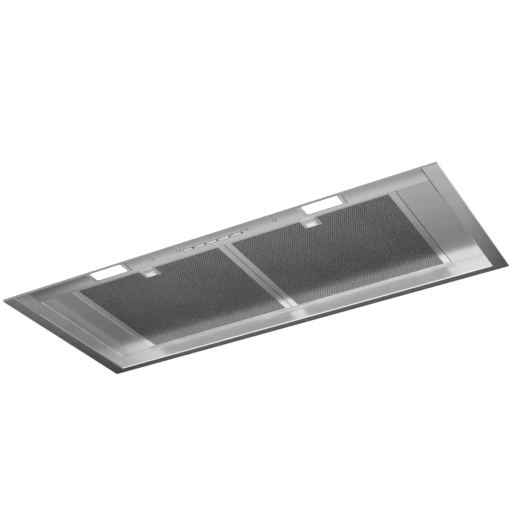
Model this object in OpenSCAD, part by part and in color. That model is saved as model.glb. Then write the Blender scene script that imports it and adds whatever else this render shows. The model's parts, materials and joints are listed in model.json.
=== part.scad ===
// Built-in range hood insert with two hinged grease filters, five push keys and a top duct collar.
// Origin: middle of the flange's underside. +X is right, -Y is the front with the keys, +Z is up.

/* [Flange] */
// Width of the flange, left to right
flange_w = 860; // [800:5:1000]
// Depth of the flange, front to rear
flange_d = 380; // [370:5:440]
// Width of each side flange
side_flange = 27.5; // [20:0.5:40]
// Width of the rear flange
rear_flange = 18.5; // [12:0.5:24]
// Height of the upturned lip round the edge
lip_h = 4.6; // [3:0.1:5]
// Thickness of the steel sheet
sheet_t = 1; // [0.8:0.1:1.2]

/* [Recess] */
// Height of the recess's ceiling over the flange's underside
recess_h = 26.6; // [24:0.2:32]
// Width of the plain ceiling on each side of the filters
side_panel_w = 71.5; // [50:0.5:90]
// Width of the ledge that carries the rear of the filters
ledge_w = 3.9; // [3:0.1:5]
// Height of the stiffening flanges that stand on the ceiling
upstand_h = 9.4; // [6:0.2:12]
// Radius of the bend relief in the ceiling's rear corners
relief_r = 2.4; // [1.5:0.1:4]

/* [Control strip] */
// Depth of the slope from the front lip to the flat strip
strip_slope_d = 16; // [12:0.5:20]
// Depth of the flat strip
strip_d = 36; // [34:0.5:42]
// Height of the flat strip over the flange's underside
strip_h = 12.5; // [10:0.1:14]
// Depth of the curved step from the strip up to the ceiling
step_d = 24.5; // [18:0.5:32]
// Distance of the strip's screws from the middle
strip_screw_x = 123.5; // [100:0.5:140]

/* [Keys] */
// Number of keys
key_count = 5; // [3:1:6]
// Distance from key to key
key_pitch = 24.4; // [22:0.2:28]
// Length of a key's cap
key_w = 18.4; // [14:0.2:19]
// Depth of a key's cap
key_d = 4.4; // [3.6:0.1:5.4]
// How far a key stands out of the strip
key_proud = 1.5; // [1:0.1:2.4]
// How far a key is pressed in
key_travel = 2; // [1:0.1:2.2]
// Distance of the key row's screws from the middle
key_screw_x = 68.4; // [66:0.2:74]
// How far the keys lie behind the middle of the strip
key_set_back = 1.7; // [0:0.1:2.5]
// How far the key row's screws lie in front of the keys
key_screw_front = 3.5; // [2:0.1:4.5]

/* [Lamps] */
// Distance of each lamp from the middle
lamp_x = 214.6; // [190:0.2:240]
// Width of a lamp's lens
lens_w = 64; // [50:0.5:72]
// Depth of a lamp's lens
lens_d = 25; // [18:0.5:26]
// Distance from the strip's front edge to the lens
lens_set_back = 1.5; // [1:0.1:3]
// Margin of a lamp's bezel beside the lens
bezel_side = 8; // [5:0.5:12]
// Margin of a lamp's bezel behind the lens
bezel_rear = 4; // [3:0.1:6]

/* [Filters] */
// Height of a filter cassette
filter_h = 9; // [8:0.2:12]
// Width of a filter frame's sides
filter_side_w = 13; // [8:0.5:18]
// Width of a filter frame's front and rear edges
filter_edge_w = 2.5; // [2:0.1:4]
// Thickness of a filter's frame
filter_t = 0.8; // [0.6:0.1:1]
// Gap between the two filters and beside them
filter_gap = 1.2; // [0.8:0.1:2]
// Pitch of the perforation
perf_pitch = 4; // [3:0.5:6]
// Diameter of a perforation
perf_d = 3; // [2:0.1:3.4]
// Pitches that each drawn hole stands for
perf_group = 4; // [4:1:8]
// How far a filter swings down
filter_swing = 45; // [20:1:50]

/* [Filter latches] */
// Width of a latch plate
latch_w = 26; // [24:0.5:32]
// Depth of a latch plate
latch_d = 26; // [25:0.5:32]
// Width of the finger pad
pad_w = 17.6; // [14:0.2:20]
// Depth of the finger pad
pad_d = 9.6; // [8:0.2:11]
// Thickness of the finger pad
pad_t = 1.2; // [1:0.1:1.6]
// Width of the latch nose
nose_w = 12; // [8:0.5:14]
// How far a latch is drawn back
latch_travel = 3.5; // [2:0.1:4]

/* [Plenum] */
// Height of the top plate over the flange's underside
body_h = 60; // [58:0.5:70]
// Set back of the sloping front from the front lip
cover_set_back = 6; // [5:0.5:8]
// Set back of the top plate's front edge from the front lip
slope_run = 82; // [78:0.5:100]
// Distance between the fixing holes, left to right
fixing_x = 600; // [560:5:620]
// Distance between the fixing holes, front to rear
fixing_y = 230; // [200:2:236]
// Diameter of a fixing hole
fixing_d = 6; // [5:0.5:8]

/* [Blower] */
// Place of the fan's axis left or right of the middle
fan_x = -70; // [-90:1:-60]
// Radius of the impeller
impeller_r = 70; // [60:1:72]
// Radial depth of the impeller's blades
blade_d = 13; // [9:0.5:16]
// Number of blades
blade_count = 36; // [24:1:40]
// Thickness of a blade
blade_t = 1; // [0.8:0.1:1.4]
// Height of the blower casing
casing_h = 51; // [48:0.5:56]
// Gap between the impeller and the casing at its narrowest
tongue_gap = 6; // [5:0.5:8]
// Growth of the casing's radius over one turn
scroll_growth = 30; // [20:1:32]
// Radius of the motor's can
motor_r = 40; // [36:1:44]
// Height of the motor's can
motor_h = 28; // [20:0.5:30]
// Radius of the motor's shaft
shaft_r = 4; // [3:0.1:5]

/* [Duct collar] */
// Outer radius of the collar
collar_r = 75; // [60:0.5:76]
// Height of the collar over the blower casing
collar_h = 30; // [28:0.5:36]
// Wall of the collar
collar_t = 1.6; // [1.2:0.1:2]
// Radius of the damper's pin
damper_pin_r = 2; // [1.5:0.1:2.5]
// How far each damper flap opens
damper_swing = 75; // [45:1:75]

/* [Electrics] */
// Width of the mains box
mains_w = 88; // [70:1:100]
// Depth of the mains box
mains_d = 64; // [50:1:80]
// Height of the mains box
mains_h = 34; // [30:1:40]
// Radius of the cable gland's bore
gland_bore_r = 3.6; // [2.5:0.1:4]
// Radius of the motor's capacitor
capacitor_r = 14; // [10:0.5:16]
// Length of the motor's capacitor
capacitor_l = 58; // [40:1:70]

/* [Hidden] */
$fn = 48;

// Overrun of every cut past the faces that it opens
cut = 1;
// Running gap between pieces that slide or swing past each other
gap = 0.3;
// Radial running clearance of a shaft or pin in its bore
bore_gap = 0.05;
// Radial clearance of a screw in its hole
screw_gap = 0.1;

// Places of the flange and the recess
front_y = -flange_d / 2;
edge_x = flange_w / 2;
side_x = edge_x - side_flange;
rear_y = flange_d / 2 - rear_flange;
body_top = body_h;
under_top = body_h - sheet_t;

// Places of the control strip, front to rear
strip_front_y = front_y + strip_slope_d;
strip_rear_y = strip_front_y + strip_d;
strip_end_y = strip_rear_y + step_d;
strip_mid_y = (strip_front_y + strip_rear_y) / 2;
strip_top = strip_h + sheet_t;
fascia_w = 2 * (side_x - gap);
// Straight runs that draw the curved step
step_runs = 10;

// Places of the sloping front cover
cover_y = front_y + cover_set_back;
slope_top_y = front_y + slope_run;
// Height of the fascia's upper face where the cover stands on it
cover_seat_h = lip_h + (strip_top - lip_h) * cover_set_back / strip_slope_d;
cover_rise = (body_h - cover_seat_h) / (slope_top_y - cover_y);
cover_drop = sheet_t * sqrt(1 + cover_rise * cover_rise);
cover_in_y = cover_y + (under_top - cover_seat_h) / (body_h - cover_seat_h - cover_drop)
    * (slope_top_y - cover_y);

// Places of the ceiling and the filters' opening
opening_x = side_x - side_panel_w;
ledge_y = rear_y - ledge_w;
ceiling_front_y = strip_end_y + gap;
ceiling_top = recess_h + sheet_t;

// Places of the filters
filter_w = opening_x - filter_gap - filter_gap / 2;
filter_x = filter_gap / 2 + filter_w / 2;
filter_front_y = strip_end_y + gap;
// Radius of the rolled tab that a filter hangs by
curl_r = 1.2;
// Thickness of the web that carries the rolled tab
curl_web_t = 0.8;
// Width of a rolled tab
curl_w = 30;
// Share of the filter's width that lies between the two rolled tabs
curl_place_share = 0.62;
hinge_y = ledge_y + curl_r / 3;
hinge_z = ceiling_top + gap + curl_r;
// Room between the filter's rear face and its hinge
filter_rear_gap = 3;
filter_rear_y = hinge_y - filter_rear_gap;
filter_d = filter_rear_y - filter_front_y;
filter_top = recess_h + filter_h;
// Thickness of the perforated face sheet
face_t = 0.6;
face_z = recess_h + filter_t;
core_z = face_z + face_t;
core_h = filter_top - filter_t - core_z;
cavity_w = filter_w - 2 * (filter_t + gap);
cavity_d = filter_d - 2 * (filter_t + gap);
mesh_w = filter_w - 2 * filter_side_w;
mesh_d = filter_d - 2 * filter_edge_w;
hole_pitch = perf_pitch * perf_group;
hole_r = perf_d / 2 * perf_group;
hole_row = hole_pitch * sqrt(3) / 2;
hole_cols = floor((mesh_w - 2 * hole_r) / hole_pitch);
hole_rows = floor((mesh_d - 2 * hole_r) / hole_row) + 1;
// Share of the pitch by which every second row of holes is shifted, to either side
stagger_share = 0.25;
// Pleated mesh behind the face
pleat_pitch = 12;
pleat_t = 0.6;

// Latch places, front to rear, in the filter's own frame
latch_t = filter_t;
latch_front_y = filter_front_y;
latch_rear_y = latch_front_y + latch_d;
latch_z = recess_h - latch_t;
tray_top = filter_top - filter_t - gap;
// Rim of the plate that shows behind the finger pad
pad_rim = 1.4;
pad_rear_y = latch_rear_y - pad_rim;
pad_front_y = pad_rear_y - pad_d;
slide_z = recess_h + gap;
// Height of the slide's body
slide_h = 3;
slide_top = slide_z + slide_h;
slide_w = latch_w - 2 * (latch_t + gap);
// Neck that joins the finger pad to the slide through the plate
neck_w = 8;
neck_d = 4;
neck_y = pad_front_y + pad_t;
nose_z = recess_h + filter_t + gap;
// Room between the frame's front wall and the slide's body
slide_set_back = 4;
slide_front_y = latch_front_y + slide_set_back;
slide_rear_y = latch_rear_y - latch_t - gap - latch_travel;
// Radius of a latch spring's coils and of its wire
latch_spring_r = 1.2;
latch_wire_r = 0.3;
latch_spring_z = slide_top + gap + latch_spring_r + latch_wire_r;
// Thickness of the slide's spring post
post_d = 1.5;
post_y = slide_front_y + post_d;
pocket_w = latch_w + 2 * gap;

// Places of the keys, above the strip
key_y = strip_mid_y + key_set_back;
key_screw_y = key_y - key_screw_front;
key_slot_w = key_w + 2 * gap;
key_slot_d = key_d + 2 * gap;
// Thickness and overhang of the collar that keeps a key in its slot
key_collar_t = 1;
key_collar_over = 1;
// Radius of a key's stem
key_stem_r = 1.2;
// Height of a switch body, and the room that its ends leave
switch_h = 3.2;
housing_h = 7.6;
housing_d = 21;
// Room in the housing in front of the keys, and past the screws at its ends
housing_front = 7;
housing_end = 6;
housing_y = key_y - housing_front;
housing_w = 2 * (key_screw_x + housing_end);
pocket_d = 2 * key_collar_over + key_slot_d + 2 * gap;
switch_z = strip_top + housing_h - switch_h;
key_stem_top = strip_top + housing_h - gap - key_travel;
board_z = strip_top + housing_h;
// Thickness of the circuit boards
board_t = 1.2;
// Coils of a key's spring, and of a latch's
key_turns = 3;
latch_turns = 8;
key_wire_r = 0.25;
key_spring_r = key_stem_r + gap + key_wire_r;
key_xs = [for (i = [0 : key_count - 1]) (i - (key_count - 1) / 2) * key_pitch];

// Screws of the strip
screw_r = 1.6;
screw_head_r = 3.2;
screw_head_h = 1.2;
screw_l = 4;
// Share of a screw head's radius that its crown keeps
crown_share = 0.8;
strip_screw_y = key_y - key_screw_front + screw_r / 2;

// Lamps
bezel_t = 0.8;
lens_t = 1.6;
lens_rim = 2;
led_inset = 3;
lens_front_y = strip_front_y + lens_set_back;
lens_rear_y = lens_front_y + lens_d;
lens_low = [-lamp_x - lens_w / 2, lens_front_y];
lens_high = [-lamp_x + lens_w / 2, lens_rear_y];
lens_back = strip_top + lens_t / 2;

// Blower places
casing_t = sheet_t;
// Gap between the blower casing and the rear wall
casing_gap = 3;
scroll_r = impeller_r + tongue_gap;
scroll_max_r = scroll_r + scroll_growth;
fan_y = rear_y - casing_gap - casing_t - scroll_max_r;
casing_top = body_top + casing_h;
lid_top = casing_top + sheet_t;
casing_rear_y = fan_y + scroll_max_r;
// Margin of the outlet box round the collar
outlet_margin = 7;
collar_y = casing_rear_y - outlet_margin - collar_r;
// Gap between the scroll and the outlet box
box_gap = 5;
outlet_x = fan_x + scroll_r + scroll_growth / 4 + 2 * casing_t + box_gap;
collar_x = outlet_x + outlet_margin + collar_r;
outlet_end_x = collar_x + collar_r + outlet_margin;
outlet_front_y = collar_y - collar_r - outlet_margin;
// Depth of the throat between scroll and outlet box
throat_share = 0.58;
throat_d = throat_share * scroll_max_r;
scroll_steps = 60;
casing_flange_w = 9;
// Angles of the screws round the scroll, clockwise from the rear
casing_screw_angles = [125 : 45 : 305];
// Places of the screws along each side of the outlet box
casing_screw_share = [0.25, 0.75];

// Impeller and inlet
inlet_flange_t = 1.5;
ring_t = 1.4;
bell_curve_steps = 6;
blade_in_r = impeller_r - blade_d;
// Overlap of the blades over the inlet's throat
inlet_lap = 3;
inlet_throat_r = blade_in_r - inlet_lap;
bell_h = 6;
bell_in_r = inlet_throat_r + bell_h;
impeller_z = body_top + bell_h - ring_t;
impeller_room = 5.6;
impeller_top = casing_top - impeller_room;
hub_wall = 5.6;
hub_r = shaft_r + hub_wall;
hub_h = 22;
// Angle by which a blade's tip leads its root, and the runs that draw it
blade_sweep = 8;
blade_runs = 4;
shaft_bottom = impeller_top - hub_h;
shaft_end_room = 3;
shaft_top = lid_top + motor_h - shaft_end_room;
motor_boss_wall = 8;
motor_boss_r = shaft_r + motor_boss_wall;
motor_hole_share = 0.7;
motor_hole_r = motor_hole_share * motor_r;
// Rounding of the motor can's upper edge
motor_edge_r = 6;
foot_t = 2;
grommet_r = 5;
grommet_h = 3;
grommet_reach = 8;
grommet_circle_r = motor_r + grommet_reach;
grommet_angles = [90 : 120 : 330];
motor_z = lid_top + grommet_h;

// Damper
damper_share = 0.47;
damper_z = lid_top + collar_h * damper_share;
flap_t = 1.2;
knuckle_wall = 1.4;
knuckle_r = damper_pin_r + knuckle_wall;
collar_in_r = collar_r - collar_t;
flap_gap = 0.9;
flap_r = collar_in_r - flap_gap;
knuckle_count = 4;
stop_w = 3;
stop_t = 1.5;
knuckle_span = 2 * (collar_in_r - stop_w - gap);

// Electrics on the top plate
// Margins of the mains box from the side wall and the rear wall
mains_side = 20;
mains_rear = 44;
mains_x = -side_x + mains_side + mains_w / 2;
mains_y = rear_y - mains_rear - mains_d / 2;
wall_t = 2;
// The gland: nuts, body and the thread through the box's wall
gland_r = 9;
gland_l = 16;
gland_nut_l = 6.4;
gland_body_r = 6.8;
gland_thread_r = 6.3;
// Terminals of the mains box
terminal_ways = 3;
terminal_w = 11;
terminal_d = 18;
terminal_h = 14;
terminal_hole_r = 2.8;
mains_end_x = mains_x - mains_w / 2;
// Room between the blower casing and the capacitor
casing_side = 42;
capacitor_x = fan_x - scroll_max_r - casing_side;
// Room between the capacitor and the mains box, which lies behind it
capacitor_rear = 12;
capacitor_y = mains_y - mains_d / 2 - capacitor_rear - capacitor_l / 2;
// Strap over the capacitor
strap_w = 12;
strap_foot_w = 12;
strap_r = capacitor_r + gap + sheet_t;
driver_w = 96;
driver_d = 38;
driver_h = 22;
driver_x = (outlet_end_x + side_x) / 2;

steel = [0.72, 0.72, 0.73];
zinc = [0.62, 0.64, 0.66];
dark_metal = [0.30, 0.30, 0.31];
black_plastic = [0.10, 0.10, 0.11];
white_plastic = [0.93, 0.93, 0.90];
bright_metal = [0.85, 0.85, 0.86];
board_green = [0.10, 0.35, 0.18];

// A box that spans from one corner to the other
module span(low, high) {
    translate(low) cube(high - low);
}

// A prism across the width, whose outline is given as [y, z] points
module across(width, points) {
    translate([-width / 2, 0, 0])
        rotate([90, 0, 90])
            linear_extrude(width) polygon(points);
}

// The left piece as drawn, or its mirror image on the right
module on_side(side) {
    if (side < 0) children();
    else mirror([1, 0, 0]) children();
}

// Height of the fascia's visible face along the curved step
function step_h(share) = strip_h + (recess_h - strip_h) * (1 - cos(180 * share)) / 2;

// The fascia's visible face as [y, z] points, from the lip to the ceiling, raised by some height
function fascia_line(raise) = concat(
    [[strip_front_y, strip_h + raise]],
    [for (i = [0 : step_runs])
        [strip_rear_y + step_d * i / step_runs, step_h(i / step_runs) + raise]]
);

// A coil spring along +Z, as one unbroken tube
module coil(radius, wire, length, turns) {
    sides = 6;
    per_turn = 12;
    rings = turns * per_turn;
    rise = (length - 2 * wire) / rings;
    points = [for (i = [0 : rings], j = [0 : sides - 1])
        let (a = 360 * i / per_turn, b = 360 * j / sides, r = radius + wire * cos(b))
            [r * cos(a), r * sin(a), wire + rise * i + wire * sin(b)]];
    bands = [for (i = [0 : rings - 1], j = [0 : sides - 1])
        let (a = i * sides + j, b = i * sides + (j + 1) % sides)
            each [[a, b, b + sides], [a, b + sides, a + sides]]];
    first = [for (j = [1 : sides - 2]) [0, j + 1, j]];
    last = [for (j = [1 : sides - 2]) [rings * sides, rings * sides + j, rings * sides + j + 1]];
    polyhedron(points, concat(bands, first, last));
}

// Side wall as [y, z] points, under the cover's slope
function wall_outline() = [
    [front_y, 0], [rear_y + sheet_t, 0], [rear_y + sheet_t, under_top],
    [cover_in_y, under_top], [cover_y, cover_seat_h], [front_y, lip_h]
];

// The one-piece sheet of flange, lip and recess walls
module canopy_frame() {
    color(steel) {
        for (side = [-1, 1]) on_side(side) {
            // Side flange, its lip and its front return
            span([-edge_x, front_y, 0], [-side_x, flange_d / 2, sheet_t]);
            span([-edge_x, front_y, 0], [sheet_t - edge_x, flange_d / 2, lip_h]);
            span([-edge_x, front_y, 0], [-side_x, front_y + sheet_t, lip_h]);
            translate([-side_x - sheet_t / 2, 0, 0]) across(sheet_t, wall_outline());
        }
        // Rear flange, its lip and the rear wall
        span([-edge_x, rear_y, 0], [edge_x, flange_d / 2, sheet_t]);
        span([-edge_x, flange_d / 2 - sheet_t, 0], [edge_x, flange_d / 2, lip_h]);
        span([-side_x - sheet_t, rear_y, 0], [side_x + sheet_t, rear_y + sheet_t, under_top]);
    }
}

// The flat ceiling round the filters, with its stiffening flanges
module ceiling_panel() {
    out_x = side_x - gap;
    rear = rear_y - gap;
    color(steel) difference() {
        union() {
            span([-out_x, ceiling_front_y, recess_h], [out_x, rear, ceiling_top]);
            for (side = [-1, 1]) on_side(side) {
                span([-out_x, ceiling_front_y, recess_h], [sheet_t - out_x, rear, ceiling_top + upstand_h]);
                span([-opening_x - sheet_t, ceiling_front_y, recess_h],
                     [-opening_x, ledge_y, ceiling_top + upstand_h]);
            }
        }
        span([-opening_x, ceiling_front_y - cut, recess_h - cut],
             [opening_x, ledge_y, ceiling_top + upstand_h + cut]);
        for (x = [-out_x, out_x])
            translate([x, rear, recess_h - cut]) cylinder(h = sheet_t + 2 * cut, r = relief_r);
    }
}

// The cut that a lens passes through, on the left, from one height to another
module lens_opening(low, high) {
    span([lens_low[0] - gap, lens_low[1] - gap, low - cut],
         [lens_high[0] + gap, lens_high[1] + gap, high + cut]);
}

// The front strip: lip, slope, flat and curved step up to the ceiling
module control_fascia() {
    // The vertical sheet behind the step, which the latches close against
    flange_y = strip_end_y - sheet_t;
    outline = concat(
        [[front_y, 0], [front_y, lip_h]],
        [for (p = fascia_line(sheet_t)) if (p[0] < flange_y) p],
        [[flange_y, ceiling_top + upstand_h], [strip_end_y, ceiling_top + upstand_h]],
        [for (i = [len(fascia_line(0)) - 1 : -1 : 0]) fascia_line(0)[i]],
        [[front_y + sheet_t, lip_h - sheet_t], [front_y + sheet_t, 0]]
    );
    color(steel) difference() {
        across(fascia_w, outline);
        for (x = key_xs)
            span([x - key_slot_w / 2, key_y - key_slot_d / 2, strip_h - cut],
                 [x + key_slot_w / 2, key_y + key_slot_d / 2, strip_top + cut]);
        for (x = [-key_screw_x, key_screw_x]) translate([x, key_screw_y, strip_h - cut])
            cylinder(h = sheet_t + 2 * cut, r = screw_r + screw_gap);
        for (x = [-strip_screw_x, strip_screw_x]) translate([x, strip_screw_y, strip_h - cut])
            cylinder(h = sheet_t + 2 * cut, r = screw_r + screw_gap);
        for (side = [-1, 1]) on_side(side) lens_opening(strip_h, strip_top);
    }
}

// The sloping front and the top plate
module plenum_cover() {
    outline = [
        [cover_y, cover_seat_h + cover_drop], [slope_top_y, body_top], [rear_y + sheet_t, body_top],
        [rear_y + sheet_t, under_top], [cover_in_y, under_top], [cover_y, cover_seat_h]
    ];
    color(zinc) difference() {
        across(2 * (side_x + sheet_t), outline);
        translate([fan_x, fan_y, under_top - cut])
            cylinder(h = sheet_t + 2 * cut, r = bell_in_r, $fn = 96);
        for (x = [-1, 1], y = [-1, 1])
            translate([x * fixing_x / 2, fixing_mid_y() + y * fixing_y / 2, under_top - cut])
                cylinder(h = sheet_t + 2 * cut, d = fixing_d);
        for (p = casing_screw_places()) translate([p[0], p[1], under_top - cut])
            cylinder(h = sheet_t + 2 * cut, r = screw_r + screw_gap);
    }
}

function fixing_mid_y() = (slope_top_y + rear_y) / 2;

// The channel over the gap between the filters, from the fascia to the rear wall
module centre_rail() {
    rail_w = 2 * filter_side_w - 2 * gap;
    low = filter_top + gap;
    color(zinc) difference() {
        span([-rail_w / 2, strip_end_y, low], [rail_w / 2, rear_y, low + upstand_h]);
        span([-rail_w / 2 + sheet_t, strip_end_y - cut, low + sheet_t],
             [rail_w / 2 - sheet_t, rear_y + cut, low + upstand_h + cut]);
    }
}

module screw_up(length) {
    translate([0, 0, -screw_head_h])
        cylinder(h = screw_head_h, r1 = screw_head_r * crown_share, r2 = screw_head_r);
    cylinder(h = length, r = screw_r);
}

// Two screws in the strip and two at the ends of the key row
module fascia_screws() {
    color(bright_metal) {
        for (x = [-strip_screw_x, strip_screw_x])
            translate([x, strip_screw_y, strip_h]) screw_up(screw_l);
        for (x = [-key_screw_x, key_screw_x])
            translate([x, key_screw_y, strip_h]) screw_up(screw_l);
    }
}

// The moulding behind the strip that guides the keys
module key_housing() {
    color(black_plastic) difference() {
        span([-housing_w / 2, housing_y, strip_top], [housing_w / 2, housing_y + housing_d, board_z]);
        for (x = key_xs)
            span([x - key_slot_w / 2 - key_collar_over - gap, key_y - pocket_d / 2, strip_top - cut],
                 [x + key_slot_w / 2 + key_collar_over + gap, key_y + pocket_d / 2, board_z + cut]);
        for (x = [-key_screw_x, key_screw_x]) translate([x, key_screw_y, strip_top - cut])
            cylinder(h = screw_l + 2 * cut, r = screw_r + screw_gap);
    }
}

// The circuit board on the key housing
module key_board() {
    color(board_green)
        span([-housing_w / 2 + wall_t, housing_y + wall_t, board_z],
             [housing_w / 2 - wall_t, housing_y + housing_d, board_z + board_t]);
}

// The push switches under the board, each with a hole for its key's stem
module key_switches() {
    half_w = key_slot_w / 2;
    half_d = key_slot_d / 2;
    color(white_plastic) for (x = key_xs) difference() {
        span([x - half_w, key_y - half_d, switch_z], [x + half_w, key_y + half_d, board_z]);
        translate([x, key_y, switch_z - cut])
            cylinder(h = switch_h + 2 * cut, r = key_stem_r + gap);
    }
}

// A push key: cap, keeper collar and stem
module key_cap(i) {
    low = strip_h - key_proud;
    collar_z = strip_top + gap;
    color(bright_metal) translate([key_xs[i], key_y, 0]) {
        span([-key_w / 2, -key_d / 2, low], [key_w / 2, key_d / 2, collar_z + key_collar_t]);
        span([-key_w / 2 - key_collar_over, -key_d / 2 - key_collar_over, collar_z],
             [key_w / 2 + key_collar_over, key_d / 2 + key_collar_over, collar_z + key_collar_t]);
        translate([0, 0, collar_z]) cylinder(h = key_stem_top - collar_z, r = key_stem_r);
    }
}

module key_spring(i) {
    low = strip_top + gap + key_collar_t;
    color(zinc) translate([key_xs[i], key_y, low])
        coil(key_spring_r, key_wire_r, switch_z - low, key_turns);
}

// The thin frame round a lamp's lens, under the strip
module lamp_bezel(side) {
    color(steel) on_side(side) difference() {
        span([lens_low[0] - bezel_side, strip_front_y, strip_h - bezel_t],
             [lens_high[0] + bezel_side, lens_rear_y + bezel_rear, strip_h]);
        lens_opening(strip_h - bezel_t, strip_h);
    }
}

// The opal lens, its edges on the fascia's upper face
module lamp_lens(side) {
    color(white_plastic) on_side(side) {
        span([lens_low[0], lens_low[1], strip_h - bezel_t + gap],
             [lens_high[0], lens_high[1], lens_back]);
        span([lens_low[0] - lens_rim, lens_low[1], strip_top],
             [lens_high[0] + lens_rim, lens_high[1], lens_back]);
    }
}

module led_board(side) {
    color(board_green) on_side(side)
        span([lens_low[0] + led_inset, lens_low[1] + led_inset, lens_back],
             [lens_high[0] - led_inset, lens_high[1] - led_inset, lens_back + board_t]);
}

module lamp_driver() {
    ear = driver_d / 4;
    low = [driver_x - driver_w / 2, collar_y - driver_d / 2, body_top];
    color(white_plastic) difference() {
        union() {
            span(low + [ear, 0, 0], low + [driver_w - ear, driver_d, driver_h]);
            span(low, low + [driver_w, driver_d, wall_t]);
        }
        for (x = [ear / 2, driver_w - ear / 2]) translate(low + [x, driver_d / 2, -cut])
            cylinder(h = wall_t + 2 * cut, r = screw_r);
    }
}

// A filter's folded frame, with the rolled tabs that it hangs and swings by
module filter_frame(side) {
    low = [-filter_w / 2, filter_front_y, recess_h];
    high = [filter_w / 2, filter_rear_y, filter_top];
    color(steel) translate([side * filter_x, 0, 0]) {
        difference() {
            span(low, high);
            span(low + [filter_t, filter_t, filter_t], high - [filter_t, filter_t, filter_t]);
            span(low + [filter_side_w, filter_edge_w, -cut], high - [filter_side_w, filter_edge_w, -cut]);
            // Way out for the latch's nose
            span([-nose_w / 2 - gap, filter_front_y - cut, nose_z - gap],
                 [nose_w / 2 + gap, filter_front_y + filter_edge_w, slide_top + gap]);
        }
        for (x = [-1, 1] * curl_place_share * filter_w / 2) {
            translate([x - curl_w / 2, hinge_y, hinge_z]) rotate([0, 90, 0])
                cylinder(h = curl_w, r = curl_r);
            span([x - curl_w / 2, filter_rear_y - filter_t, hinge_z - curl_web_t / 2],
                 [x + curl_w / 2, hinge_y, hinge_z + curl_web_t / 2]);
        }
    }
}

// The pocket for the latch through a filter's inner layers
module latch_pocket() {
    span([-pocket_w / 2, filter_front_y - cut, recess_h],
         [pocket_w / 2, latch_rear_y + gap, filter_top + cut]);
}

// The perforated sheet that shows from below
module filter_face(side) {
    first_x = -(hole_cols - 1) / 2 * hole_pitch;
    mid_y = (filter_front_y + filter_rear_y) / 2;
    first_y = mid_y - (hole_rows - 1) / 2 * hole_row;
    half_w = pocket_w / 2 + hole_r + cut;
    color(dark_metal) translate([side * filter_x, 0, face_z]) linear_extrude(face_t) difference() {
        translate([-cavity_w / 2, mid_y - cavity_d / 2]) square([cavity_w, cavity_d]);
        translate([-pocket_w / 2, filter_front_y]) square([pocket_w, latch_d + gap]);
        for (row = [0 : hole_rows - 1], col = [0 : hole_cols - 1]) {
            x = first_x + (col + (row % 2 == 0 ? -stagger_share : stagger_share)) * hole_pitch;
            y = first_y + row * hole_row;
            if (abs(x) > half_w || y > latch_rear_y + hole_r + cut)
                translate([x, y]) rotate(30) circle(r = hole_r, $fn = 6);
        }
    }
}

// The pleated mesh behind the face
module filter_core(side) {
    mid_y = (filter_front_y + filter_rear_y) / 2;
    pleats = floor(cavity_w / pleat_pitch);
    first_x = -pleats * pleat_pitch / 2;
    fold = [for (i = [0 : 2 * pleats])
        [first_x + i * pleat_pitch / 2, core_z + (i % 2 == 0 ? 0 : core_h - pleat_t)]];
    color(dark_metal) translate([side * filter_x, 0, 0]) difference() {
        translate([0, mid_y + cavity_d / 2, 0]) rotate([90, 0, 0]) linear_extrude(cavity_d)
            polygon(concat(fold, [for (i = [2 * pleats : -1 : 0]) fold[i] + [0, pleat_t]]));
        latch_pocket();
    }
}

// The latch's tray: the plate that shows, with the slot for the pad's neck, and the walls round the slide
module latch_plate(side) {
    half = latch_w / 2;
    wall_y = latch_front_y + filter_edge_w + gap;
    color(steel) translate([side * filter_x, 0, 0]) difference() {
        union() {
            span([-half, latch_front_y, latch_z], [half, latch_rear_y, recess_h]);
            for (s = [-1, 1]) on_side(s)
                span([-half, wall_y, latch_z], [latch_t - half, latch_rear_y, tray_top]);
            span([-half, latch_rear_y - latch_t, latch_z], [half, latch_rear_y, tray_top]);
        }
        span([-neck_w / 2 - gap, neck_y - gap, latch_z - cut],
             [neck_w / 2 + gap, neck_y + neck_d + latch_travel + gap, recess_h + cut]);
    }
}

// The sliding latch: nose, body, spring post, and the finger pad under the plate
module latch_slide(side) {
    pad_top = latch_z - gap;
    color(bright_metal) translate([side * filter_x, 0, 0]) {
        span([-nose_w / 2, latch_front_y, nose_z], [nose_w / 2, slide_front_y, slide_top]);
        span([-slide_w / 2, slide_front_y, slide_z], [slide_w / 2, slide_rear_y, slide_top]);
        span([-neck_w / 2, neck_y, pad_top - pad_t], [neck_w / 2, neck_y + neck_d, slide_top]);
        span([-pad_w / 2, pad_front_y, pad_top - pad_t], [pad_w / 2, pad_rear_y, pad_top]);
        span([-nose_w / 2, slide_front_y, slide_z], [nose_w / 2, post_y, tray_top]);
    }
}

module latch_spring(side) {
    length = latch_rear_y - latch_t - post_y;
    color(zinc) translate([side * filter_x, post_y, latch_spring_z]) rotate([-90, 0, 0])
        coil(latch_spring_r, latch_wire_r, length, latch_turns);
}

// The bell-mouthed ring that leads the air into the impeller
module inlet_ring() {
    runs = bell_curve_steps;
    inner = [for (i = [0 : runs]) let (a = 90 * i / runs)
        [bell_in_r - bell_h * sin(a), body_top + bell_h * (1 - cos(a))]];
    color(black_plastic) translate([fan_x, fan_y, 0]) rotate_extrude($fn = 96) polygon(concat(
        inner,
        [for (i = [runs : -1 : 1]) inner[i] + [inlet_flange_t, 0]],
        [[bell_in_r + inlet_flange_t, body_top + inlet_flange_t],
         [bell_in_r + casing_flange_w, body_top + inlet_flange_t],
         [bell_in_r + casing_flange_w, body_top]]
    ));
}

// Radius of the scroll at an angle counted clockwise from the rear
function scroll_at(turn) = scroll_r + scroll_growth * turn / 360;

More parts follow.
